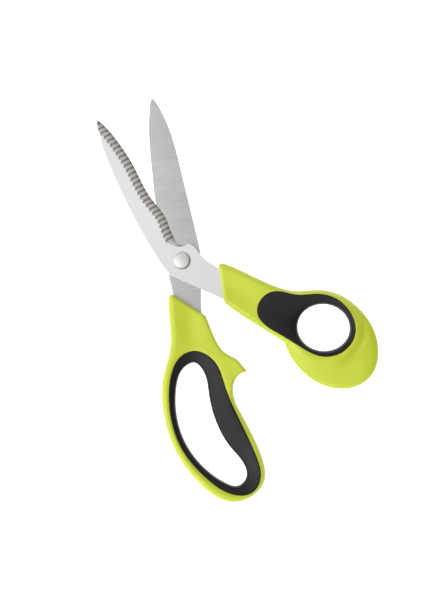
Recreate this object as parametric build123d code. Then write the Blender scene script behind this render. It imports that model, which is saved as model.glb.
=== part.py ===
from build123d import *

import os
from math import atan, cos, hypot

# Household shears with one plain blade and one fluted blade, in millimetres.
#
# Row frame: the origin is on the pivot axis, midway between the two blades. +Z runs along the
# pivot axis towards the smooth domed head of the bolt, so the shears lie flat. +Y runs from the
# pivot to the tip of the plain blade.
#
# Both halves are drawn closed, with their tips together on +Y. The finger half stays as drawn,
# with its plain blade below z = 0. The thumb half, with its fluted blade above z = 0, is then
# turned open by REST_OPENING.
#
# Each blade is first drawn lying on z = 0 with its cutting edge towards +X. The plain blade is
# turned over about the Y axis, so that the two edges shear past each other.

# Driving dimensions
BLADE_REACH = 92.0          # pivot axis to blade tip
LOOP_REACH = 138.4          # pivot axis to the far end of the finger loop
BLADE_THICKNESS = 2.2
BLADE_GAP = 0.06            # running gap between the two inner faces
REST_OPENING = 20.8         # degrees from closed to the rest pose
LOOP_THICKNESS = 13.0       # both handles at their loops
FRONT_THICKNESS = 9.8       # both handles, level with the pivot
TAPER_START = -70.0         # y from which both handles thin out towards the pivot
BRIM_THICKNESS = 9.6        # palm rest round the thumb loop
LINER_LAP = 1.5             # thickness of the soft liner on the faces of a loop
LINER_WALL = 2.2            # thickness of the soft liner inside a loop
FACE_ROUNDING = 3.4         # between a handle's face and its outer side
HOLE_ROUNDING = 2.0         # between a liner's face and the inside of its loop

# Cutting edges
BEVEL_WIDTH = 4.2           # from the cutting edge to the flat of the outer face
EDGE_LAND = 0.5             # thickness left at the cutting edge, between flutes
HEEL_END = 13.2             # y where the cutting edge starts
NOTCH_OFFSET = (4.6, -2.0)  # from the start of the edge to the centre of the rounded heel notch
RUN_OUT_OFFSET = (4.0, 1.3)     # the same for the wider round that ends the bevel on the outer face
FLUTE_PITCH = 2.8
FLUTE_RADIUS = 2.4
FLUTE_DEPTH = 0.42          # square to the bevel
FLUTE_COUNT = 28
FIRST_FLUTE = 13.4          # y of the flute nearest the pivot
SPINE_CHAMFER = 0.25

# Tangs, cast into the handles, with holes that the plastic fills
TANG_HOLE_RADIUS = 1.75
PLAIN_TANG_HOLES = [(0.6, -28.5), (2.0, -39.5)]
FLUTED_TANG_HOLES = [(17.0, -33.0), (24.5, -47.0)]

# Pivot stack, from the top down
HEAD_RADIUS = 4.35
HEAD_RIM = 0.9
HEAD_CROWN = 0.45           # dome above the rim
RIM_ROUNDING = 0.7
SHANK_RADIUS = 2.5
BORE_CLEARANCE = 0.05       # radial, between the shank and the fluted blade that turns on it
SHANK_FLATS = 4.2           # across the two flats that key the bolt to the plain blade
SPACER_RADIUS = 5.5
SPACER_POCKET = 0.12        # depth of the spacer's seat in each blade
THREAD_RADIUS = 2.0
SPRING_THICKNESS = 0.4
SPRING_DISH = 0.35
NUT_RADIUS = 4.2
NUT_HEIGHT = 1.6
SLOT_WIDTH = 1.0
SLOT_DEPTH = 0.8
TOUCH = 0.02                # gap left between faces that only touch
OVERRUN = 2.0               # how far a cutting tool runs past what it cuts

HALF_GAP = BLADE_GAP / 2
OUTER_FACE = HALF_GAP + BLADE_THICKNESS
HALF_LOOP = LOOP_THICKNESS / 2
WEB_HALF = HALF_LOOP - LINER_LAP
BEVEL_FOOT = HALF_GAP + EDGE_LAND
BEVEL_SLOPE = (BLADE_THICKNESS - EDGE_LAND) / BEVEL_WIDTH
NOTCH_RADIUS = hypot(*NOTCH_OFFSET)
RUN_OUT_RADIUS = hypot(RUN_OUT_OFFSET[0] + BEVEL_WIDTH, RUN_OUT_OFFSET[1])
FAR = 300.0                 # larger than the shears, for cutting tools

TURNED_OVER = Rot(0, 180, 0)


def slab(outline, low, high):
    """The closed outline filled and extruded between two heights."""
    return Pos(0, 0, low) * extrude(make_face(outline), amount=high - low)


def column(outline):
    """The closed outline as an endless column."""
    return slab(outline, -FAR, FAR)


def disc(radius, low, high):
    """A cylinder on the pivot axis between two heights."""
    return Pos(0, 0, (low + high) / 2) * Cylinder(radius, high - low)


def closed_spline(*points):
    """A smooth closed curve through the points."""
    return Curve() + Spline(*points, periodic=True)


# Blades, drawn lying on z = 0 with the cutting edge towards +X

def fluted_cutting_edge():
    """From the heel to the tip: the edge bellies twice."""
    return Spline(
        (2.9, HEEL_END), (4.6, 25.5), (3.3, 38.5), (4.3, 61.0), (3.0, 81.5), (0.7, BLADE_REACH - 1.2),
        tangents=[(0, 1), (-0.3, 1)],
    )


def fluted_blade_outline():
    """The fluted blade and its tang, which leaves towards the thumb."""
    edge = fluted_cutting_edge()
    shoulder = (8.0, 6.2)
    tip_left = (-1.1, BLADE_REACH - 1.6)
    corner = (-9.9, -3.6)
    elbow = (8.3, -29.9)
    tang_left = (24.5, -56.0)
    tang_right = (30.0, -53.0)
    collar = (15.2, -14.1)
    return Curve() + [
        edge,
        ThreePointArc(edge @ 1, (-0.4, BLADE_REACH - 0.7), tip_left),
        Spline(tip_left, (-3.7, 82.4), (-8.1, 58.9), (-10.8, 27.2), (-10.8, 5.6), corner),
        Line(corner, elbow),
        Line(elbow, tang_left),
        ThreePointArc(tang_left, (28.4, -56.9), tang_right),
        Line(tang_right, collar),
        Spline(collar, (11.0, -4.5), shoulder, tangents=[(-0.42, 0.9), (-0.8, 0.6)]),
        RadiusArc(shoulder, edge @ 0, NOTCH_RADIUS),
    ]


def plain_cutting_edge():
    """From the heel to the tip in one long curve."""
    return Spline(
        (5.4, HEEL_END), (7.9, 27.5), (7.9, 46.0), (5.6, 71.5), (1.2, BLADE_REACH - 0.8),
        tangents=[(0, 1), (-0.3, 1)],
    )


def plain_blade_outline():
    """The plain blade and its tang, which runs straight back into the finger handle."""
    edge = plain_cutting_edge()
    shoulder = (9.2, 6.2)
    tip_left = (-1.1, BLADE_REACH - 1.0)
    elbow = (-5.6, -33.0)
    tang_left = (-1.6, -43.5)
    tang_right = (6.0, -43.5)
    collar = (8.1, -17.3)
    return Curve() + [
        edge,
        ThreePointArc(edge @ 1, (0.1, BLADE_REACH), tip_left),
        Spline(tip_left, (-5.8, 76.0), (-8.5, 50.0), (-10.6, 14.0), (-10.7, -2.0), (-7.9, -17.1), elbow),
        Line(elbow, tang_left),
        ThreePointArc(tang_left, (2.2, -46.2), tang_right),
        Line(tang_right, collar),
        Line(collar, shoulder),
        RadiusArc(shoulder, edge @ 0, NOTCH_RADIUS),
    ]


def bevel_cutter(edge):
    """Clears everything above the bevel: a wedge swept along the edge and on past the tip."""
    tip = edge @ 1
    path = Curve() + [edge, Line(tip, tip + (edge % 1) * 2 * OVERRUN)]
    inner = -BEVEL_WIDTH - OVERRUN
    top = BEVEL_FOOT - inner * BEVEL_SLOPE
    wedge = Polyline(
        (OVERRUN, BEVEL_FOOT - OVERRUN * BEVEL_SLOPE), (inner, top), (OVERRUN, top), close=True
    )
    across = Plane(origin=edge @ 0, x_dir=(1, 0, 0), z_dir=(0, -1, 0))
    return sweep(across * make_face(wedge), path=path)


def heel_cutter(edge):
    """Runs the bevel out at the heel: an oblique cone from the notch to a wider round above."""
    heel = edge @ 0
    notch = Pos(*(heel + NOTCH_OFFSET)) * Pos(0, 0, BEVEL_FOOT) * Circle(NOTCH_RADIUS)
    run_out = Pos(*(heel + RUN_OUT_OFFSET)) * Pos(0, 0, OUTER_FACE + TOUCH) * Circle(RUN_OUT_RADIUS)
    before_edge = Pos(0, HEEL_END - FAR / 2, 0) * Box(FAR, FAR, FAR)
    return loft([notch, run_out]) & before_edge


def flute_cutters(edge):
    """One inclined round cutter for each flute, running straight across the blade."""
    lift = (FLUTE_RADIUS - FLUTE_DEPTH) / cos(atan(BEVEL_SLOPE))
    cutters = []
    for number in range(FLUTE_COUNT):
        y = FIRST_FLUTE + number * FLUTE_PITCH
        crossing = edge.intersect(Edge.make_line((-FAR, y), (FAR, y)))[0]
        axis = Plane(
            origin=(crossing.X, y, BEVEL_FOOT + lift), x_dir=(0, 1, 0), z_dir=(-1, 0, BEVEL_SLOPE)
        )
        cutters.append(axis * Cylinder(FLUTE_RADIUS, 4 * BEVEL_WIDTH))
    return cutters


def ground_blade(outline, edge, tang_holes):
    """A blade cut from plate, bevelled from heel to tip, with keying holes in its tang."""
    blade = slab(outline, HALF_GAP, OUTER_FACE)
    outer_edges = blade.edges().filter_by_position(Axis.Z, OUTER_FACE - TOUCH, OUTER_FACE + TOUCH)
    spine = outer_edges.sort_by(SortBy.LENGTH)[-1]
    blade = chamfer(spine, SPINE_CHAMFER)
    blade -= bevel_cutter(edge)
    blade -= heel_cutter(edge)
    for x, y in tang_holes:
        blade -= Pos(x, y) * Cylinder(TANG_HOLE_RADIUS, FAR)
    return blade - disc(SPACER_RADIUS + TOUCH, 0, HALF_GAP + SPACER_POCKET)


def fluted_blade():
    """The thumb half's blade, with a round bore that turns on the bolt."""
    edge = fluted_cutting_edge()
    blade = ground_blade(fluted_blade_outline(), edge, FLUTED_TANG_HOLES)
    for cutter in flute_cutters(edge):
        blade -= cutter
    return blade - disc(SHANK_RADIUS + BORE_CLEARANCE, -FAR, FAR)


def plain_blade():
    """The finger half's blade, with a hole that holds the flats of the bolt."""
    blade = ground_blade(plain_blade_outline(), plain_cutting_edge(), PLAIN_TANG_HOLES)
    return TURNED_OVER * blade - keyed_bar(-FAR, FAR)


# Pivot

def keyed_bar(low, high):
    """Round bar with two flats, between two heights."""
    bar = disc(SHANK_RADIUS, low, high)
    return bar & Pos(0, 0, (low + high) / 2) * Box(FAR, SHANK_FLATS, high - low)


def nut_top():
    """Height of the nut's upper face, under the spring washer."""
    return -OUTER_FACE - SPRING_THICKNESS - SPRING_DISH - 2 * TOUCH


def pivot_bolt():
    """Domed head, round shank for the turning blade, flats for the fixed one, thread below."""
    head_base = OUTER_FACE + TOUCH
    rim_top = head_base + HEAD_RIM
    head_top = rim_top + HEAD_CROWN
    dome_radius = (HEAD_RADIUS**2 + HEAD_CROWN**2) / (2 * HEAD_CROWN)
    dome = Pos(0, 0, head_top - dome_radius) * Sphere(dome_radius)
    head = disc(HEAD_RADIUS, head_base, head_top) & dome
    rim = head.edges().filter_by_position(Axis.Z, rim_top - TOUCH, rim_top + TOUCH)
    head = fillet(rim, RIM_ROUNDING)
    thread_end = nut_top() - NUT_HEIGHT + SLOT_DEPTH
    return (
        head
        + disc(SHANK_RADIUS, 0, head_base)
        + keyed_bar(-OUTER_FACE, 0)
        + disc(THREAD_RADIUS - TOUCH, thread_end, 0)
    )


def spacer_washer():
    """Thin nylon washer that keeps the blades apart at the pivot."""
    half = HALF_GAP + SPACER_POCKET - TOUCH / 2
    return disc(SPACER_RADIUS, -half, half) - disc(SHANK_RADIUS + TOUCH, -FAR, FAR)


def spring_washer():
    """Dished spring washer that holds the blades together under the nut."""
    top = -OUTER_FACE - TOUCH
    inner = THREAD_RADIUS + 0.25
    section = Polyline(
        (NUT_RADIUS, top),
        (NUT_RADIUS, top - SPRING_THICKNESS),
        (inner, top - SPRING_DISH - SPRING_THICKNESS),
        (inner, top - SPRING_DISH),
        close=True,
    )
    return revolve(Plane.XZ * make_face(section), axis=Axis.Z)


def pivot_nut():
    """Round nut with a screwdriver slot across its face."""
    top = nut_top()
    nut = disc(NUT_RADIUS, top - NUT_HEIGHT, top)
    nut = fillet(nut.edges().filter_by(GeomType.CIRCLE).sort_by(Axis.Z)[0], 0.5)
    nut -= disc(THREAD_RADIUS, -FAR, FAR)
    slot = Pos(0, 0, top - NUT_HEIGHT + SLOT_DEPTH / 2) * Box(FAR, SLOT_WIDTH, SLOT_DEPTH)
    return nut - slot


# Handles, drawn closed in the row frame

def finger_handle_outline():
    """Neck, loop and finger spur of the finger handle."""
    front_left = (-10.4, -15.8)
    front_right = (7.6, -32.7)
    spur_tip = (25.4, -67.9)
    spur_shoulder = (20.5, -59.6)
    return Curve() + [
        Spline(
            front_left, (-12.8, -32.0), (-15.0, -46.5), (-22.0, -62.9), (-25.3, -82.0),
            (-22.8, -103.0), (-12.8, -124.2), (6.0, -LOOP_REACH), (23.0, -130.6), (24.2, -114.0),
            (17.7, -91.0), (15.2, -77.8), (18.2, -70.2), spur_tip,
        ),
        Line(spur_tip, spur_shoulder),
        Spline(
            spur_shoulder, (17.6, -57.6), (14.4, -54.7), (10.7, -47.0), (8.9, -38.5), front_right,
        ),
        Line(front_right, front_left),
    ]


def finger_liner_outline():
    """Where the soft liner of the finger loop ends on the faces."""
    return closed_spline(
        (-4.2, -50.9), (-11.0, -53.4), (-16.8, -61.4), (-20.5, -74.0), (-21.4, -87.5),
        (-18.2, -104.5), (-8.3, -121.6), (6.0, -133.9), (16.0, -134.5), (21.9, -127.0),
        (21.6, -114.8), (16.3, -94.0), (11.3, -72.6), (8.7, -60.0), (3.6, -53.6),
    )


def finger_hole_outline():
    """The finished finger opening, wide enough for three fingers."""
    return closed_spline(
        (-4.8, -57.3), (-10.9, -60.3), (-16.1, -70.5), (-18.4, -86.0), (-16.1, -101.5),
        (-7.8, -117.4), (1.8, -127.0), (8.4, -129.9), (13.9, -126.2), (14.2, -118.8),
        (8.6, -108.2), (3.1, -93.1), (1.7, -76.0), (0.3, -61.4),
    )


def thumb_arm_outline():
    """The raised arm of the thumb handle and the ring round the thumb."""
    front_top = (16.9, -11.1)
    front_bottom = (8.3, -32.2)
    return Curve() + [
        Spline(
            front_top, (26.1, -22.9), (37.4, -39.4), (46.1, -47.8), (56.5, -53.4), (64.6, -61.4),
            (67.4, -74.0), (63.4, -86.0), (51.0, -91.9), (37.8, -86.8), (29.4, -75.4),
            (24.1, -66.0), (18.6, -55.1), (12.7, -43.0), front_bottom,
        ),
        Line(front_bottom, front_top),
    ]


def brim_outline():
    """The palm rest, a broad brim that stands out below the thumb ring."""
    return closed_spline(
        (46.0, -51.0), (57.8, -54.2), (66.2, -62.5), (71.4, -75.3), (72.2, -88.0),
        (68.0, -100.6), (58.5, -109.7), (47.0, -110.8), (35.8, -105.0), (28.4, -95.4),
        (24.7, -82.0), (25.6, -69.0), (34.0, -56.0),
    )


def thumb_liner_outline():
    """Where the soft liner of the thumb loop ends on the faces, with the pad on the arm."""
    return closed_spline(
        (20.5, -51.5), (23.6, -43.4), (31.5, -40.6), (38.6, -43.4), (44.5, -49.0), (55.0, -54.9),
        (62.4, -62.0), (65.7, -73.2), (62.4, -84.4), (51.1, -90.1), (39.6, -86.4),
        (31.8, -75.5), (24.8, -62.2),
    )


def thumb_hole_outline():
    """The finished thumb opening, an oval whose long axis lies across the arm."""
    return Pos(48.6, -73.2) * Rot(0, 0, -38) * Ellipse(14.9, 13.3).wire()


def side_profile():
    """Endless band across the shears that sets how thick the handles are along y."""
    taper_start = (TAPER_START, HALF_LOOP)
    front = (0, FRONT_THICKNESS / 2)
    upper = Curve() + [
        Line((-FAR, HALF_LOOP), taper_start),
        TangentArc(taper_start, front, tangent=(1, 0)),
    ]
    lower = upper.mirror(Plane.XZ)
    ends = [Line(upper @ 0, lower @ 0), Line(upper @ 1, lower @ 1)]
    return extrude(Plane.YZ * make_face(upper.edges() + lower.edges() + ends), amount=FAR, both=True)


def face_edges(solid):
    """The outline's edges on both faces of a handle, without the line where the taper starts."""
    return [
        e for e in solid.edges()
        if abs((e @ 0.5).Z) > FRONT_THICKNESS / 2 - 1 and abs((e @ 0.5).Y - TAPER_START) > 1
    ]


def handle_body(outline):
    """A handle before it is lined: tapered towards the front, its faces rounded into its sides."""
    body = column(outline) & side_profile()
    return fillet(face_edges(body), FACE_ROUNDING)


def finger_body():
    """The finger handle with its opening."""
    return pierced(handle_body(finger_handle_outline()), finger_hole_outline())


def thumb_body():
    """The thumb handle with its brim and its opening."""
    half = BRIM_THICKNESS / 2
    brim = slab(brim_outline(), -half, half)
    brim = fillet(brim.edges().filter_by(Plane.XY), FACE_ROUNDING)
    return pierced(handle_body(thumb_arm_outline()) + brim, thumb_hole_outline())


def pierced(body, hole):
    """The body with a finger opening whose rims are rounded."""
    before = body.edges()
    body -= column(hole)
    rims = [e for e in body.edges() - before if abs((e @ 0.5).Z) > WEB_HALF]
    return fillet(rims, HOLE_ROUNDING)


def grown(outline, distance):
    """A closed outline, drawn anticlockwise, moved outwards by a distance."""
    steps = 24
    points = []
    for step in range(steps):
        along = outline % (step / steps)
        points.append(outline @ (step / steps) + Vector(along.Y, -along.X) * distance)
    return closed_spline(*points)


def liner_channel(outline, hole):
    """The room of a soft liner: all within the outline except the web of the loop it clasps."""
    web = slab(outline, -WEB_HALF, WEB_HALF) - column(grown(hole, LINER_WALL))
    return column(outline) - web


def main():
    """Writes one file for each part, in its place at rest."""
    plain = plain_blade()
    fluted = fluted_blade()
    finger = finger_body()
    thumb = thumb_body()
    finger_channel = liner_channel(finger_liner_outline(), finger_hole_outline())
    thumb_channel = liner_channel(thumb_liner_outline(), thumb_hole_outline())
    finger_half = {
        "plain_blade": plain,
        "finger_handle": finger - finger_channel - plain,
        "finger_grip": finger & finger_channel,
        "pivot_bolt": pivot_bolt(),
        "spacer_washer": spacer_washer(),
        "spring_washer": spring_washer(),
        "pivot_nut": pivot_nut(),
    }
    thumb_half = {
        "fluted_blade": fluted,
        "thumb_handle": thumb - thumb_channel - fluted,
        "thumb_grip": thumb & thumb_channel,
    }
    opened = Rot(0, 0, REST_OPENING)
    placed = finger_half | {name: opened * part for name, part in thumb_half.items()}
    os.makedirs("parts", exist_ok=True)
    for name, part in placed.items():
        export_step(part, f"parts/{name}.step")


if __name__ == "__main__":
    main()
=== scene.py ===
from math import cos, pi, radians, sin

import bmesh
import bpy
import numpy as np
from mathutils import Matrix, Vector


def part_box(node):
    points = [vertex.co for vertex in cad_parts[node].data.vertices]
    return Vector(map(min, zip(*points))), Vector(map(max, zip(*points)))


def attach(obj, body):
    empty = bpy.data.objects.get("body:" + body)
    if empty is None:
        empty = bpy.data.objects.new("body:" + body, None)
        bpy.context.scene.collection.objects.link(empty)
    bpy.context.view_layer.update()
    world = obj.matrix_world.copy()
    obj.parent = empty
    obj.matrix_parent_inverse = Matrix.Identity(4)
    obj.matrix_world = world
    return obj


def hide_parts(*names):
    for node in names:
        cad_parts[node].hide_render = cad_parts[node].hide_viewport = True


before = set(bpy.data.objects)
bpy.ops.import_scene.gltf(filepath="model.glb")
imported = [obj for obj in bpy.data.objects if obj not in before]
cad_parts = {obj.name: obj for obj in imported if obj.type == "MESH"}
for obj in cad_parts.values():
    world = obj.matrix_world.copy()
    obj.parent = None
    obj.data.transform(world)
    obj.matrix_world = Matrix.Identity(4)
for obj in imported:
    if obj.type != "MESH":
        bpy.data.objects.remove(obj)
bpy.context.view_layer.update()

# Hand shears lying on a pale floor, seen from straight above.
#
# The blades, the bolt, the nut and the washers are the frame's own meshes with new materials. The
# moulded handles and their soft liners are made here as skins: each is the surface of a rounded
# field built over the outlines that the frame's nodes have at a few levels. Lengths are in
# millimetres until a mesh is written, unless they are given in metres.

MM = 0.001

# Grids
STEP = 0.5                  # grid pitch of the charts and of the skins
MARGIN = 2.0                # charts reach this far beyond an outline
SHORTEST_EDGE = 0.04        # shorter ones are welded
SMOOTHING = 0.5             # blur of the depth charts, which takes the creases out of them
FACE_SMOOTHING = 0.7        # the same for the dip in the faces

# Levels at which the frame's nodes are cut
MID_LEVEL = 0.5             # just off the middle, on the side that has no tang
LINER_LEVEL = 5.2           # cuts only the laps of the liners
BRIM_HALF = 4.8             # half thickness of the thumb brim
RING_LEVEL = BRIM_HALF + 0.1

# Both handles
LOOP_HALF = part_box("finger_handle")[1].z / MM
FRONT_HALF = 4.9            # half thickness of a handle level with the pivot
TAPER_LENGTH = 70.0         # over which a handle thins out to that
SIDE_POWER = 3.0            # how full a handle's sides are
FRONT_ROUNDING = 1.3        # where the blade enters
FRONT_REACH = 4.0           # behind the front end, over which the rounding grows to the usual one
FRONT_CORNER = 1.7          # radius of a front end's corners, seen from above
CORNER_REACH = (5, 8)       # behind the front end, where the rounded corners end
HOLE_ROUNDING = 2.2
DISH_DEPTH = 1.0            # hollow in the neck of each handle, between its front and its liner
DISH_WIDTH = 5.5
LIP = 1.8                   # the faces start to dip this far outside a liner
GROOVE_WIDTH = 0.32         # each side of the seam between plastic and liner
GROOVE_DEPTH = 0.22
LINER_PROUD = 0.1

# Finger handle
LOOP_ROUNDING = 3.6
SPUR_ROUNDING = 1.4
SPUR_SIDE_X = (-2, 6)       # from the loop's rounding to the spur's, across the handle
SPUR_SIDE_Y = (-84, -72)    # the same along it
# The dip of the faces towards the hole; see dip().
FINGER_DIP = {"drop": 2.7, "width": 5.0, "power": 1.2, "strip": 2.4}

# Thumb handle
ARM_ROUNDING = 2.6
ARM_REACH = (8, 16)         # behind the front end, where the arm's outline gives way to the ring's
BRIM_ROUNDING = 9.0
FACE_FILLET = 3.4           # of the frame's handles
JOINING = 0.22              # how softly the brim runs into the arm
SKIRT_REACH = 5.5           # over which the brim rises to the thumb ring
FAR_SKIRT_REACH = 2.6       # the same beyond the ring
HOLLOW_DEPTH = 1.2          # of the valley in the brim beyond the ring
HOLLOW_PLACE = 2.4          # outside the ring
HOLLOW_WIDTH = 2.3
THUMB_DIP = {"drop": 5.0, "width": 9.0, "power": 2.6}

# Steel, in metres
HEAD_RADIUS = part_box("pivot_bolt")[1].x
HEAD_SHADOW_WIDTH = 1.2 * MM      # painted shadow round the bolt's head
GRIND_TURN = radians(-10)   # of the plain blade's grinding lines
THIN_EDGE = 0.2 * MM        # height at which the painted shade on the fluted blade's bevel is darkest
THICK_BEVEL = 1.3 * MM      # height at which that painted shade has gone

# View, in metres
UP_TURN = radians(10.286)   # the picture's upright, clockwise from +Y
UPRIGHT = Vector((sin(UP_TURN), cos(UP_TURN), 0))
RIGHT = Vector((cos(UP_TURN), -sin(UP_TURN), 0))
LOOK_AT = Vector((17.7, -25.7, 0)) * MM
CAMERA_HEIGHT = 1.1
VIEW_HEIGHT = 0.336
SENSOR = 36.0               # millimetres

# Light
OVERHEAD = Vector((0, 0, 1))
BRIGHT_SIDE = OVERHEAD * 0.66 - RIGHT * 0.63 - UPRIGHT * 0.41
# The sky's light, for cosines of the angle from its bright side.
SKY = ((-1, 0.2), (0.1, 0.2), (0.35, 0.55), (0.66, 1.02), (0.85, 1.2), (1, 1.3))
TABLE_GLOW = 0.65           # of the white table, low down all round
PANEL_TILT = radians(38)    # from overhead, towards the picture's left
PANEL_REACH = radians(20)
PANEL_LIGHT = 2.5
CARD_TILT = radians(48)     # from overhead, towards the picture's upper right
CARD_REACH = radians(30)
CARD_LIGHT = 0.6
PAPER_GLOW = 0.3            # of the floor, as it lights the shears
PAPER_SEEN = 0.9            # of the floor, as the camera sees it
FLOOR_HALF = 4.0            # metres
FLOOR_GAP = 0.02

REST_OPENING = radians(20.8)    # how far the thumb half is turned from closed in the rest pose


# Outlines and charts ---------------------------------------------------------------------------

def mesh_arrays(node):
    """Vertices, in millimetres, and triangles of a CAD node."""
    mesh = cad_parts[node].data
    mesh.calc_loop_triangles()
    points = np.empty(len(mesh.vertices) * 3)
    mesh.vertices.foreach_get("co", points)
    triangles = np.empty(len(mesh.loop_triangles) * 3, np.int64)
    mesh.loop_triangles.foreach_get("vertices", triangles)
    return points.reshape(-1, 3) / MM, triangles.reshape(-1, 3)


def outlines(node, level):
    """Closed outlines of a CAD node at a level, the largest first."""
    points, triangles = mesh_arrays(node)
    corners = points[triangles]
    height = corners[..., 2] - level
    following = np.roll(corners, -1, axis=1)
    height_next = np.roll(height, -1, axis=1)
    crosses = (height > 0) != (height_next > 0)
    cut = crosses.any(axis=1)
    share = np.where(crosses, height / np.where(crosses, height - height_next, 1), 0)
    hits = (corners + share[..., None] * (following - corners))[cut][..., :2]
    ends = hits[crosses[cut]].reshape(-1, 2, 2)
    neighbours = {}
    place = {}
    for pair in ends:
        keys = [tuple(np.round(end, 3)) for end in pair]
        if keys[0] == keys[1]:
            continue
        for key, other, end in zip(keys, keys[::-1], pair):
            neighbours.setdefault(key, []).append(other)
            place[key] = end
    loops = []
    while neighbours:
        key = next(iter(neighbours))
        loop = []
        while key is not None:
            loop.append(place[key])
            ahead = neighbours.pop(key)
            key = next((other for other in ahead if other in neighbours), None)
        loops.append(np.array(loop))
    return sorted(loops, key=lambda loop: -loop_area(loop))


def loop_area(loop):
    x, y = loop.T
    return abs(np.dot(x, np.roll(y, -1)) - np.dot(y, np.roll(x, -1))) / 2


class Chart:
    """A grid over a handle, on which fields are held as arrays."""

    def __init__(self, loop):
        self.low = np.floor((loop.min(0) - MARGIN) / STEP) * STEP
        self.shape = tuple(np.ceil((loop.max(0) + MARGIN - self.low) / STEP).astype(int) + 1)
        columns, rows = np.indices(self.shape)
        self.x = self.low[0] + columns * STEP
        self.y = self.low[1] + rows * STEP

    def depth(self, loop):
        """Distance to a closed outline, positive inside."""
        x, y = self.x.ravel(), self.y.ravel()
        nearest = np.full(x.shape, np.inf)
        inside = np.zeros(x.shape, bool)
        for (ax, ay), (bx, by) in zip(loop, np.roll(loop, -1, axis=0)):
            ex, ey = bx - ax, by - ay
            px, py = x - ax, y - ay
            share = np.clip((px * ex + py * ey) / (ex * ex + ey * ey), 0, 1)
            nearest = np.minimum(nearest, (px - share * ex) ** 2 + (py - share * ey) ** 2)
            if ay != by:
                inside ^= ((ay <= y) != (by <= y)) & (px < py * ex / ey)
        return (np.sqrt(nearest) * np.where(inside, 1, -1)).reshape(self.shape)

    def at(self, field, points):
        """A field's values at points, by linear interpolation."""
        u = np.clip((points[:, 0] - self.low[0]) / STEP, 0, self.shape[0] - 1.001)
        v = np.clip((points[:, 1] - self.low[1]) / STEP, 0, self.shape[1] - 1.001)
        i, j = u.astype(int), v.astype(int)
        u, v = u - i, v - j
        near = field[i, j] * (1 - v) + field[i, j + 1] * v
        far = field[i + 1, j] * (1 - v) + field[i + 1, j + 1] * v
        return near * (1 - u) + far * u


def blurred(field, radius):
    """A field smoothed over a radius in millimetres."""
    for _ in range(int(2 * (radius / STEP) ** 2)):
        for axis in (0, 1):
            padded = np.pad(field, [(1, 1) if a == axis else (0, 0) for a in (0, 1)], mode="edge")
            before, after = [np.take(padded, range(s, s + field.shape[axis]), axis) for s in (0, 2)]
            field = field / 2 + (before + after) / 4
    return field


def smoothstep(low, high, value):
    share = np.clip((value - low) / (high - low), 0, 1)
    return share * share * (3 - 2 * share)


def front_end(loop):
    """Corners of a handle's flat front end, the longest straight edge of its outline."""
    after = np.roll(loop, -1, axis=0)
    longest = np.argmax(np.hypot(*(after - loop).T))
    return loop[longest], after[longest]


def behind_front(chart, loop):
    """Distance behind a handle's front end."""
    start, end = front_end(loop)
    along = (end - start) / np.hypot(*(end - start))
    return abs((chart.x - start[0]) * along[1] - (chart.y - start[1]) * along[0])


def zeros(field, axis):
    """Grid edges along an axis on which a field changes sign: each edge's lower node, the zero's
    place in grid steps, and whether the field falls there."""
    positive = np.moveaxis(field > 0, axis, 0)
    nodes = np.argwhere(np.moveaxis(positive[:-1] != positive[1:], 0, axis))
    ahead = nodes.copy()
    ahead[:, axis] += 1
    value, value_ahead = field[tuple(nodes.T)], field[tuple(ahead.T)]
    places = nodes.astype(float)
    places[:, axis] += value / (value - value_ahead)
    return nodes, places, value > value_ahead


def softened(depth, radius):
    """A depth chart with its outline's outward corners rounded to a radius: near the outline, depth
    is measured from the outline that lies a radius further in."""
    core = depth - radius
    inner = np.concatenate([zeros(core, axis)[1] for axis in (0, 1)])
    band = np.argwhere((core < 0) & (depth > -MARGIN))
    gap = np.sqrt(((band[:, None] - inner[None]) ** 2).sum(axis=2).min(axis=1)) * STEP
    rounded = depth.copy()
    rounded[tuple(band.T)] = radius - gap
    return rounded


def front_softened(depth, behind):
    """A depth chart with rounded corners at the front end only."""
    kept = smoothstep(*CORNER_REACH, behind)
    return depth + (softened(depth, FRONT_CORNER) - depth) * (1 - kept)


def front_rounded(rounding, behind):
    """An edge rounding that falls to the front's own at the front end."""
    return FRONT_ROUNDING + (rounding - FRONT_ROUNDING) * smoothstep(0, FRONT_REACH, behind)


def dish(chart, loop, liner_loop):
    """A shallow hollow between a handle's front end and its liner, 1 at its centre."""
    start, end = front_end(loop)
    front = (start + end) / 2
    nearest = liner_loop[np.argmin(np.hypot(*(liner_loop - front).T))]
    centre = (front + nearest) / 2
    length = np.hypot(*(nearest - front))
    along = (nearest - front) / length
    px, py = chart.x - centre[0], chart.y - centre[1]
    forward = (px * along[0] + py * along[1]) / (length / 2)
    across = (px * along[1] - py * along[0]) / DISH_WIDTH
    return np.exp(-forward ** 2 - across ** 2)


def edge_roll(depth, rounding):
    """How far an edge's rounding eats into the height: 1 at the outline, 0 past the rounding."""
    return (1 - np.minimum(depth / rounding, 1)) ** 2


def tapered(chart, turn):
    """Half thickness of a handle that is drawn turned: it thins out towards the pivot."""
    drawn_y = chart.y * cos(turn) - chart.x * sin(turn)
    taper = np.clip(drawn_y / TAPER_LENGTH + 1, 0, 1) ** 2
    return LOOP_HALF - (LOOP_HALF - FRONT_HALF) * taper


def dip(liner, hole, drop, width, power, strip=0.0):
    """How far the faces dip from a liner's rim towards the hole, where a strip may be left level.
    The dip nears the drop where the liner is much broader than the width."""
    from_rim = np.maximum(liner + LIP, 0)
    from_hole = np.maximum(-hole, 0)
    span = from_rim + from_hole
    share = np.where(span > 0, from_rim / np.maximum(span - strip, STEP), 0)
    return blurred(drop * span / (span + width) * np.minimum(share, 1) ** power, FACE_SMOOTHING)


# Skins -----------------------------------------------------------------------------------------

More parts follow.
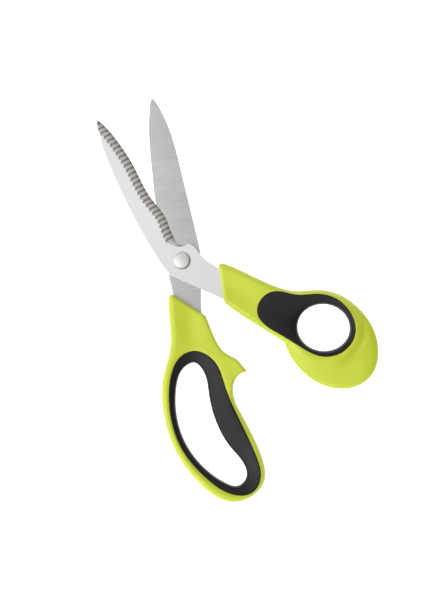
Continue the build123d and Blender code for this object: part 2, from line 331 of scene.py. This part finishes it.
def solid_field(chart, lobes, points):
    """Positive inside a handle: the smooth union of its lobes, each of rolled edges and a half
    thickness."""
    total = None
    for rolled, half in lobes:
        rise = abs(points[:, 2] / chart.at(half, points)) ** SIDE_POWER
        lobe = 1 - chart.at(rolled, points) - rise
        if total is None:
            total = lobe
        else:
            near = np.maximum(JOINING - abs(total - lobe), 0)
            total = np.maximum(total, lobe) + near * near / (4 * JOINING)
    return total


def settle(field, points, rounds):
    """Points moved onto field = 0 along its gradient. Points on the mid plane stay on it."""
    reach = 0.05
    middle = points[:, 2] == 0
    for _ in range(rounds):
        slope = np.empty_like(points)
        for axis in range(3):
            shift = np.zeros(3)
            shift[axis] = reach
            slope[:, axis] = (field(points + shift) - field(points - shift)) / (2 * reach)
        slope[middle, 2] = 0
        steep = np.maximum((slope ** 2).sum(1), 1e-4)
        move = -(field(points) / steep)[:, None] * slope
        length = np.maximum(np.linalg.norm(move, axis=1), 1e-9)
        points = points + move * np.minimum(1, STEP / length)[:, None]
    return points


def upper_skin(chart, field):
    """Vertices and quads of field = 0 above the mid plane, with one vertex in each grid cell that
    it crosses."""
    layers = int(np.ceil(LOOP_HALF / STEP)) + 2
    shape = chart.shape + (layers,)
    levels = (np.arange(layers) - 0.5) * STEP
    values = np.empty(shape)
    flat = np.stack([chart.x.ravel(), chart.y.ravel(), np.zeros(chart.x.size)], axis=1)
    for layer, level in enumerate(levels):
        flat[:, 2] = level
        values[:, :, layer] = field(flat).reshape(chart.shape)
    cells, places, quads = [], [], []
    for axis in range(3):
        nodes, place, falls = zeros(values, axis)
        first, second = [(1, 2), (2, 0), (0, 1)][axis]
        around = []
        for a, b in ((0, 0), (1, 0), (1, 1), (0, 1)):
            cell = nodes.copy()
            cell[:, first] -= a
            cell[:, second] -= b
            around.append(np.ravel_multi_index(tuple(cell.T), shape, mode="clip"))
        cells += around
        places += [place] * 4
        quad = np.stack(around, axis=1)
        quad[~falls] = quad[~falls][:, ::-1]
        quads.append(quad[nodes[:, 2] > 0])
    cells, places, quads = np.concatenate(cells), np.concatenate(places), np.concatenate(quads)
    used, index = np.unique(quads, return_inverse=True)
    wanted = np.isin(cells, used)
    slot = np.searchsorted(used, cells[wanted])
    count = np.bincount(slot, minlength=len(used))
    points = np.stack(
        [np.bincount(slot, places[wanted][:, axis], len(used)) / count for axis in range(3)], axis=1
    )
    points = points * STEP + np.array([*chart.low, levels[0]])
    points[used % layers == 0, 2] = 0
    return points, index.reshape(-1, 4)


def relaxed(field, points, quads, rounds):
    """The skin with its vertices evened out and kept on the field's surface."""
    edges = np.concatenate([quads[:, [0, 1]], quads[:, [1, 2]], quads[:, [2, 3]], quads[:, [3, 0]]])
    edges = np.unique(np.sort(edges, axis=1), axis=0)
    both = np.concatenate([edges, edges[:, ::-1]])
    count = np.bincount(both[:, 0], minlength=len(points))
    for _ in range(rounds):
        middle = points[:, 2] == 0
        total = np.stack(
            [np.bincount(both[:, 0], points[both[:, 1], axis], len(points)) for axis in range(3)],
            axis=1,
        )
        points = points + (total / count[:, None] - points) / 2
        points[middle, 2] = 0
        points = settle(field, points, 2)
    return points


def scored(points, triangles, values):
    """The mesh with its triangles split where values cross 0, and the values at its points."""
    side = values[triangles] > 0
    count = side.sum(axis=1)
    mixed = (count == 1) | (count == 2)
    lone = np.where(count == 1, side.argmax(axis=1), (~side).argmax(axis=1))[mixed]
    split = triangles[mixed]
    rows = np.arange(len(split))
    a, b, c = [split[rows, (lone + turn) % 3] for turn in range(3)]
    ends = np.sort(np.concatenate([np.stack([a, b], 1), np.stack([a, c], 1)]), axis=1)
    ends, index = np.unique(ends, axis=0, return_inverse=True)
    index = index.reshape(2, -1) + len(points)
    share = (values[ends[:, 0]] / (values[ends[:, 0]] - values[ends[:, 1]]))[:, None]
    fresh = points[ends[:, 0]] * (1 - share) + points[ends[:, 1]] * share
    p, q = index
    parts = [np.stack(corners, axis=1) for corners in ((a, p, q), (p, b, c), (p, c, q))]
    return (
        np.concatenate([points, fresh]),
        np.concatenate([triangles[~mixed], *parts]),
        np.concatenate([values, np.zeros(len(fresh))]),
    )


def vertex_normals(points, triangles):
    a, b, c = [points[triangles[:, corner]] for corner in range(3)]
    face = np.cross(b - a, c - a)
    total = np.zeros_like(points)
    for corner in range(3):
        for axis in range(3):
            total[:, axis] += np.bincount(triangles[:, corner], face[:, axis], len(points))
    return total / np.maximum(np.linalg.norm(total, axis=1), 1e-12)[:, None]


def welded(points, triangles, reach):
    """The mesh without unused vertices and without edges shorter than a reach."""
    mesh = bpy.data.meshes.new("welding")
    mesh.from_pydata(points, [], triangles.tolist())
    work = bmesh.new()
    work.from_mesh(mesh)
    bpy.data.meshes.remove(mesh)
    bmesh.ops.delete(work, geom=[v for v in work.verts if not v.link_faces], context="VERTS")
    bmesh.ops.remove_doubles(work, verts=work.verts, dist=reach)
    bmesh.ops.dissolve_degenerate(work, edges=work.edges, dist=reach / 4)
    bmesh.ops.triangulate(work, faces=work.faces)
    points = np.array([v.co for v in work.verts])
    triangles = np.array([[v.index for v in f.verts] for f in work.faces])
    work.free()
    return points, triangles


def closed_piece(name, points, triangles):
    """A piece from its upper skin: mirrored below the mid plane, and walled along the seam."""
    points, triangles = welded(points, triangles, SHORTEST_EDGE)
    points[abs(points[:, 2]) < SHORTEST_EDGE / 2, 2] = 0
    middle = points[:, 2] == 0
    count = len(points)
    twin = np.where(middle, np.arange(count), np.arange(count) + count)
    edges = np.concatenate([triangles[:, [0, 1]], triangles[:, [1, 2]], triangles[:, [2, 0]]])
    key = edges[:, 0] * count + edges[:, 1]
    reverse = edges[:, 1] * count + edges[:, 0]
    seam = edges[~np.isin(key, reverse)]
    seam = seam[~(middle[seam[:, 0]] & middle[seam[:, 1]])]
    wall = np.stack([seam[:, 1], seam[:, 0], twin[seam[:, 0]], twin[seam[:, 1]]], axis=1)
    below = points * (1, 1, -1)
    faces = triangles.tolist() + twin[triangles[:, ::-1]].tolist() + wall.tolist()
    mesh = bpy.data.meshes.new(name)
    mesh.from_pydata(np.concatenate([points, below]) * MM, [], faces)
    mesh.shade_smooth()
    on_seam = np.zeros(2 * count, bool)
    on_seam[seam.ravel()] = True
    on_seam[twin[seam.ravel()]] = True
    ends = np.empty(len(mesh.edges) * 2, np.int64)
    mesh.edges.foreach_get("vertices", ends)
    ends = ends.reshape(-1, 2)
    sharp = on_seam[ends].all(axis=1)
    flags = mesh.attributes.new("sharp_edge", "BOOLEAN", "EDGE")
    flags.data.foreach_set("value", sharp)
    work = bmesh.new()
    work.from_mesh(mesh)
    bmesh.ops.delete(work, geom=[v for v in work.verts if not v.link_faces], context="VERTS")
    bmesh.ops.recalc_face_normals(work, faces=work.faces)
    work.to_mesh(mesh)
    work.free()
    piece = bpy.data.objects.new(name, mesh)
    bpy.context.scene.collection.objects.link(piece)
    return piece


def handle_pieces(chart, lobes, liner, names):
    """The plastic and the soft liner of a handle, parted along the liner's outline by a groove."""
    def field(points):
        return solid_field(chart, lobes, points)

    points, quads = upper_skin(chart, field)
    points = settle(field, points, 3)
    points = relaxed(field, points, quads, 4)
    triangles = np.concatenate([quads[:, [0, 1, 2]], quads[:, [0, 2, 3]]])
    for offset in (-GROOVE_WIDTH, GROOVE_WIDTH, 0):
        values = chart.at(liner, points) - offset
        points, triangles, values = scored(points, triangles, values)
    normals = vertex_normals(points, triangles)
    on_line = abs(values) < 1e-9
    proud = np.where(values > GROOVE_WIDTH / 2, LINER_PROUD, 0)
    lift = np.where(on_line, -GROOVE_DEPTH, proud)
    lift[points[:, 2] == 0] = 0
    points = points + normals * lift[:, None]
    soft = values[triangles].sum(axis=1) > 0
    return [
        closed_piece(name, points, triangles[chosen])
        for name, chosen in zip(names, (~soft, soft))
    ]


def finger_pieces():
    """The long loop for three fingers, with its spur."""
    outline = outlines("finger_handle", MID_LEVEL)[0]
    chart = Chart(outline)
    hole = chart.depth(outlines("finger_grip", MID_LEVEL)[-1])
    liner_loop = outlines("finger_grip", LINER_LEVEL)[0]
    liner = chart.depth(liner_loop)
    behind = behind_front(chart, outline)
    depth = blurred(front_softened(chart.depth(outline), behind), SMOOTHING)
    spur_side = smoothstep(*SPUR_SIDE_X, chart.x) * smoothstep(*SPUR_SIDE_Y, chart.y)
    rounding = LOOP_ROUNDING + (SPUR_ROUNDING - LOOP_ROUNDING) * spur_side
    rounding = front_rounded(rounding, behind)
    rolled = edge_roll(depth, rounding) + edge_roll(-hole, HOLE_ROUNDING)
    half = tapered(chart, 0) - dip(liner, hole, **FINGER_DIP)
    half = half - DISH_DEPTH * dish(chart, outline, liner_loop)
    names = ("finger_handle_shell", "finger_loop_liner")
    return handle_pieces(chart, [(rolled, half)], liner, names)


def thumb_pieces():
    """The arm and ring for the thumb, with the broad brim below them."""
    outline = outlines("thumb_handle", -MID_LEVEL)[0]
    chart = Chart(outline)
    ring = outlines("thumb_handle", RING_LEVEL)[0]
    hole = chart.depth(outlines("thumb_grip", -MID_LEVEL)[-1])
    liner_loop = outlines("thumb_grip", LINER_LEVEL)[0]
    liner = chart.depth(liner_loop)
    behind = behind_front(chart, outline)
    flat = tapered(chart, REST_OPENING)
    half = flat - dip(liner, hole, **THUMB_DIP)
    half = half - DISH_DEPTH * dish(chart, outline, liner_loop)
    below_fillet = FACE_FILLET - np.minimum(flat - BRIM_HALF, FACE_FILLET)
    inset = FACE_FILLET - np.sqrt(FACE_FILLET ** 2 - below_fillet ** 2)
    ring_depth = chart.depth(ring) + inset
    whole_depth = front_softened(chart.depth(outline), behind)
    depth = whole_depth + (ring_depth - whole_depth) * smoothstep(*ARM_REACH, behind)
    hole_roll = edge_roll(-hole, HOLE_ROUNDING)
    arm_roll = edge_roll(blurred(depth, SMOOTHING), front_rounded(ARM_ROUNDING, behind))
    arm = (arm_roll + hole_roll, half)
    over_hole = behind[hole > 0]
    far_side = smoothstep(over_hole.mean(), over_hole.max(), behind)
    reach = SKIRT_REACH + (FAR_SKIRT_REACH - SKIRT_REACH) * far_side
    skirt = np.exp(-(np.minimum(ring_depth, 0) / reach) ** 2)
    hollow = HOLLOW_DEPTH * far_side * np.exp(-((ring_depth + HOLLOW_PLACE) / HOLLOW_WIDTH) ** 2)
    brim_half = np.minimum(half, BRIM_HALF) + np.maximum(half - BRIM_HALF, 0) * skirt - hollow
    brim_roll = edge_roll(blurred(whole_depth, SMOOTHING), BRIM_ROUNDING)
    brim = (brim_roll + hole_roll, blurred(brim_half, SMOOTHING))
    names = ("thumb_handle_shell", "thumb_loop_liner")
    return handle_pieces(chart, [arm, brim], liner, names)


# Materials -------------------------------------------------------------------------------------

def add(tree, kind, inputs=None, **settings):
    """A shader node with its settings and inputs; an input may be another node's output."""
    made = tree.nodes.new("ShaderNode" + kind)
    for name, value in settings.items():
        setattr(made, name, value)
    for name, value in (inputs or {}).items():
        if isinstance(value, bpy.types.NodeSocket):
            tree.links.new(value, made.inputs[name])
        else:
            made.inputs[name].default_value = value
    return made


def maths(tree, operation, *values):
    return add(tree, "Math", dict(enumerate(values)), operation=operation).outputs[0]


def remap(tree, value, from_low, from_high, to_low=0.0, to_high=1.0):
    inputs = {"Value": value, 1: from_low, 2: from_high, 3: to_low, 4: to_high}
    return add(tree, "MapRange", inputs).outputs[0]


def mixed(tree, share, first, second):
    """Colours mixed by a share of 0 to 1."""
    return add(tree, "Mix", {0: share, 6: first, 7: second}, data_type="RGBA").outputs[2]


def spread(tree, value, low=0.0, high=1.0):
    """Noise, which mostly lies between 0.3 and 0.7, spread over a range of its own."""
    return remap(tree, value, 0.3, 0.7, low, high)


def axis_of(tree, vector, axis):
    return add(tree, "SeparateXYZ", {0: vector}).outputs[axis]


def vector_maths(tree, operation, first, second, output="Value"):
    return add(tree, "VectorMath", {0: first, 1: second}, operation=operation).outputs[output]


def grey(tree, value):
    """A grey of a value, a trace warmer than neutral."""
    blue = maths(tree, "MULTIPLY", value, 0.99)
    return add(tree, "CombineColor", {0: value, 1: value, 2: blue}).outputs[0]


def noise(tree, place, scale, detail=3.0, stretch=(1, 1, 1), turn=0.0):
    """Noise of a scale per metre over the object's own coordinates, stretched along its axes."""
    mapping = add(tree, "Mapping", {"Vector": place, "Rotation": (0, 0, turn), "Scale": stretch})
    inputs = {"Vector": mapping.outputs[0], "Scale": scale, "Detail": detail}
    return add(tree, "TexNoise", inputs).outputs[0]


def start_material(name):
    """A new material's tree, its Principled node and the object's coordinates."""
    material = bpy.data.materials.new(name)
    material.use_nodes = True
    tree = material.node_tree
    shader = tree.nodes["Principled BSDF"]
    place = add(tree, "TexCoord").outputs["Object"]
    return material, tree, shader, place


def bump(tree, shader, height, distance, strength=1.0):
    """Bumps a Principled node's surface by a height of 0 to 1 over a distance in millimetres."""
    inputs = {"Height": height, "Distance": distance * MM, "Strength": strength}
    tree.links.new(add(tree, "Bump", inputs).outputs[0], shader.inputs["Normal"])


def connect(tree, shader, **inputs):
    """Links outputs, or sets values, on a Principled node's inputs, named with _ for spaces."""
    for name, value in inputs.items():
        socket = shader.inputs[name.replace("_", " ")]
        if isinstance(value, bpy.types.NodeSocket):
            tree.links.new(value, socket)
        else:
            socket.default_value = value


def lime_plastic():
    """Glossy moulded plastic, faintly mottled, a little worn on its crests."""
    material, tree, shader, place = start_material("lime_plastic")
    mottle = spread(tree, noise(tree, place, 45, 2.0))
    colour = mixed(tree, mottle, (0.50, 0.585, 0.016, 1), (0.56, 0.64, 0.030, 1))
    crest = remap(tree, add(tree, "NewGeometry").outputs["Pointiness"], 0.52, 0.62)
    scuffs = remap(tree, noise(tree, place, 900, 4.0), 0.45, 0.75)
    wear = maths(tree, "MULTIPLY", crest, scuffs)
    colour = mixed(tree, maths(tree, "MULTIPLY", wear, 0.35), colour, (0.70, 0.74, 0.25, 1))
    moulded = spread(tree, noise(tree, place, 120), 0.27, 0.31)
    connect(tree, shader, Base_Color=colour, Roughness=maths(tree, "ADD", moulded, wear), IOR=1.54)
    bump(tree, shader, noise(tree, place, 650, 2.0), 0.02, 0.6)
    return material


def soft_grip():
    """Soft black elastomer with a fine spark-eroded texture."""
    material, tree, shader, place = start_material("soft_grip")
    mottle = noise(tree, place, 60, 2.0)
    colour = mixed(tree, mottle, (0.003, 0.003, 0.0032, 1), (0.005, 0.005, 0.0052, 1))
    roughness = spread(tree, mottle, 0.36, 0.42)
    connect(tree, shader, Base_Color=colour, Roughness=roughness, IOR=1.38)
    bump(tree, shader, noise(tree, place, 2600, 2.0), 0.015, 0.5)
    return material


def head_shadow(tree, place):
    """A painted shadow: a dark crescent on the blade round the bolt's head, on the side turned from
    the light.
    """
    level = vector_maths(tree, "MULTIPLY", place, (1, 1, 0), "Vector")
    radius = add(tree, "VectorMath", {0: level}, operation="LENGTH").outputs["Value"]
    ring = remap(tree, radius, HEAD_RADIUS, HEAD_RADIUS + HEAD_SHADOW_WIDTH, 1.0, 0.0)
    side = vector_maths(tree, "DOT_PRODUCT", place, RIGHT - UPRIGHT * 0.4)
    return maths(tree, "MULTIPLY", ring, remap(tree, side, -HEAD_RADIUS, HEAD_RADIUS, 0.0, 0.95))


def satin_steel():
    """The fluted blade: bright satin faces with a faint grain along it and a painted shadow round
    the bolt's head, and a ground bevel with painted shade that darkens it towards its edge."""
    material, tree, shader, place = start_material("satin_steel")
    turned = add(tree, "Mapping", {"Vector": place, "Rotation": (0, 0, -REST_OPENING)}).outputs[0]
    grain = noise(tree, turned, 40, 4.0, (30, 1, 30))
    tone = remap(tree, axis_of(tree, turned, 1), -0.03, 0.03, 0.69, 0.765)
    tone = maths(tree, "ADD", tone, spread(tree, grain, -0.012, 0.012))
    # Painted shadow of the bolt's head darkens the satin tone beside it.
    tone = maths(tree, "MULTIPLY", tone, maths(tree, "SUBTRACT", 1.0, head_shadow(tree, place)))
    up = axis_of(tree, add(tree, "NewGeometry").outputs["True Normal"], 2)
    bevel = remap(tree, up, 0.985, 0.93)
    # Painted shade along the cutting edge: the bevel darkens towards its lowest part, except on
    # faces that look down.
    dark = remap(tree, axis_of(tree, place, 2), THIN_EDGE, THICK_BEVEL, 0.5, 1.0)
    facing_down = remap(tree, up, 0.6, 0.3)
    dark = maths(tree, "MAXIMUM", dark, facing_down)
    ground = {0: (0.66, 0.626, 0.592), "Scale": dark}
    ground = add(tree, "VectorMath", ground, operation="SCALE").outputs["Vector"]
    colour = mixed(tree, bevel, grey(tree, tone), ground)
    roughness = remap(tree, bevel, 0, 1, 0.34, 0.30)
    connect(tree, shader, Base_Color=colour, Metallic=1.0, Roughness=roughness)
    bump(tree, shader, grain, 0.004, 0.5)
    return material


def ground_steel():
    """The plain blade: grey, with fine grinding lines across it in uneven bands, and lighter on the
    left
    and towards its tip: painted light on the left and painted shade towards the pivot."""
    material, tree, shader, place = start_material("ground_steel")
    lines = noise(tree, place, 60, 5.0, (1, 32, 1), GRIND_TURN)
    bands = noise(tree, place, 18, 2.0, (0.6, 6, 1), GRIND_TURN)
    tone = spread(tree, lines, 0.45, 0.55)
    tone = maths(tree, "ADD", tone, spread(tree, bands, -0.02, 0.02))
    # Painted light: lighter on the left, the side the light comes from.
    across = remap(tree, axis_of(tree, place, 0), -0.008, 0.012, 1.10, 0.95)
    # Painted shade: darker towards the pivot, beside the fluted blade.
    along = remap(tree, axis_of(tree, place, 1), -0.04, 0.05, 0.93, 1.03)
    tone = maths(tree, "MULTIPLY", maths(tree, "MULTIPLY", tone, across), along)
    connect(tree, shader, Base_Color=grey(tree, tone), Metallic=1.0, Roughness=0.36)
    bump(tree, shader, lines, 0.006, 0.6)
    return material


def pivot_steel():
    """Polished bolt head and nut, with faint turning marks and fine scratches."""
    material, tree, shader, place = start_material("pivot_steel")
    radius = add(tree, "VectorMath", {0: place}, operation="LENGTH").outputs["Value"]
    rings = maths(tree, "SINE", maths(tree, "MULTIPLY", radius, 2 * pi / (0.35 * MM)))
    scratches = noise(tree, place, 300, 4.0, (1, 6, 1), radians(35))
    roughness = remap(tree, scratches, 0.3, 0.75, 0.34, 0.42)
    colour = mixed(tree, scratches, (0.70, 0.68, 0.65, 1), (0.74, 0.72, 0.69, 1))
    connect(tree, shader, Base_Color=colour, Metallic=1.0, Roughness=roughness)
    bump(tree, shader, rings, 0.002, 0.3)
    return material


def spring_steel():
    """Dark oiled spring washer."""
    material, tree, shader, place = start_material("spring_steel")
    stain = noise(tree, place, 500, 4.0)
    colour = mixed(tree, stain, (0.20, 0.19, 0.18, 1), (0.36, 0.36, 0.37, 1))
    connect(tree, shader, Base_Color=colour, Metallic=1.0, Roughness=spread(tree, stain, 0.3, 0.5))
    bump(tree, shader, stain, 0.01, 0.5)
    return material


def nylon():
    """Natural nylon washer, slightly translucent."""
    material, tree, shader, place = start_material("nylon")
    cloud = noise(tree, place, 400)
    colour = mixed(tree, cloud, (0.70, 0.68, 0.61, 1), (0.80, 0.78, 0.71, 1))
    connect(tree, shader, Base_Color=colour, Roughness=0.5, Subsurface_Weight=0.1)
    bump(tree, shader, cloud, 0.01, 0.4)
    return material


def floor_paper():
    """Bright white from above; seen from below it isn't there."""
    material, tree, shader, place = start_material("floor_paper")
    connect(tree, shader, Base_Color=(0.9, 0.9, 0.9, 1), Roughness=0.9, Specular_IOR_Level=0.0)
    seen = add(tree, "LightPath").outputs["Is Camera Ray"]
    glow = remap(tree, seen, 0, 1, PAPER_GLOW, PAPER_SEEN)
    connect(tree, shader, Emission_Color=(1, 1, 1, 1), Emission_Strength=glow)
    bump(tree, shader, noise(tree, place, 300), 0.02, 0.1)
    clear = add(tree, "BsdfTransparent").outputs[0]
    below = add(tree, "NewGeometry").outputs["Backfacing"]
    shown = add(tree, "MixShader", {0: below, 1: shader.outputs[0], 2: clear})
    tree.links.new(shown.outputs[0], tree.nodes["Material Output"].inputs["Surface"])
    return material


def paint(piece, material):
    piece.data.materials.clear()
    piece.data.materials.append(material)


# Stage -----------------------------------------------------------------------------------------

def floor():
    """A wide sheet just under the shears, big enough for every view."""
    level = -(LOOP_HALF + FLOOR_GAP) * MM
    signs = ((-1, -1), (1, -1), (1, 1), (-1, 1))
    corners = [(x * FLOOR_HALF, y * FLOOR_HALF, level) for x, y in signs]
    mesh = bpy.data.meshes.new("floor")
    mesh.from_pydata(corners, [], [(0, 1, 2, 3)])
    sheet = bpy.data.objects.new("floor", mesh)
    bpy.context.scene.collection.objects.link(sheet)
    paint(sheet, floor_paper())


def sky():
    """Soft light over a white table: a bright panel on the left, a weak card at the upper right,
    and little else from the right."""
    world = bpy.data.worlds.new("sky")
    bpy.context.scene.world = world
    world.use_nodes = True
    tree = world.node_tree
    direction = add(tree, "TexCoord").outputs["Generated"]

    def facing(towards):
        return vector_maths(tree, "DOT_PRODUCT", direction, towards.normalized())

    ramp = add(tree, "ValToRGB", {0: remap(tree, facing(BRIGHT_SIDE), -1, 1)})
    stops = ramp.color_ramp.elements
    while len(stops) < len(SKY):
        stops.new(0.5)
    for stop, (cosine, light) in zip(stops, SKY):
        stop.position = (cosine + 1) / 2
        stop.color = (light, light, light, 1)
    table = remap(tree, facing(OVERHEAD), 0.5, 0.15, 0.0, TABLE_GLOW)
    total = maths(tree, "ADD", ramp.outputs[0], table)
    panel = OVERHEAD * cos(PANEL_TILT) - RIGHT * sin(PANEL_TILT) - UPRIGHT * 0.3
    card = OVERHEAD * cos(CARD_TILT) + (UPRIGHT * 2 + RIGHT).normalized() * sin(CARD_TILT)
    lamps = ((panel, PANEL_REACH, PANEL_LIGHT), (card, CARD_REACH, CARD_LIGHT))
    for towards, reach, light in lamps:
        glow = remap(tree, facing(towards), cos(reach), cos(reach * 0.6), 0.0, light)
        total = maths(tree, "ADD", total, glow)
    seen = add(tree, "LightPath").outputs["Is Camera Ray"]
    back = tree.nodes["Background"]
    tree.links.new(mixed(tree, seen, total, (1, 1, 1, 1)), back.inputs["Color"])


def camera():
    """Straight above the shears, turned so that the picture's upright is up."""
    lens = bpy.data.cameras.new("camera")
    lens.sensor_width = SENSOR
    lens.lens = SENSOR * CAMERA_HEIGHT / VIEW_HEIGHT
    lens.clip_start, lens.clip_end = 0.01, 20.0
    eye = bpy.data.objects.new("camera", lens)
    bpy.context.scene.collection.objects.link(eye)
    eye.location = LOOK_AT + OVERHEAD * CAMERA_HEIGHT
    eye.rotation_euler = (0, 0, -UP_TURN)
    bpy.context.scene.camera = eye


# The shears ------------------------------------------------------------------------------------

def main():
    looks = {
        "fluted_blade": satin_steel(),
        "plain_blade": ground_steel(),
        "spring_washer": spring_steel(),
        "spacer_washer": nylon(),
    }
    polished = pivot_steel()
    looks |= {"pivot_bolt": polished, "pivot_nut": polished}
    for node, material in looks.items():
        paint(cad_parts[node], material)

    made_of = (("handle", "lime_plastic", lime_plastic()), ("grip", "soft_grip", soft_grip()))
    for half, pieces in (("finger", finger_pieces()), ("thumb", thumb_pieces())):
        for piece, (part, slot, material) in zip(pieces, made_of):
            paint(piece, material)
            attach(piece, f"{half}_half")
            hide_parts(f"{half}_{part}")

    floor()
    sky()
    camera()
    bpy.context.scene.view_settings.view_transform = "Standard"


main()
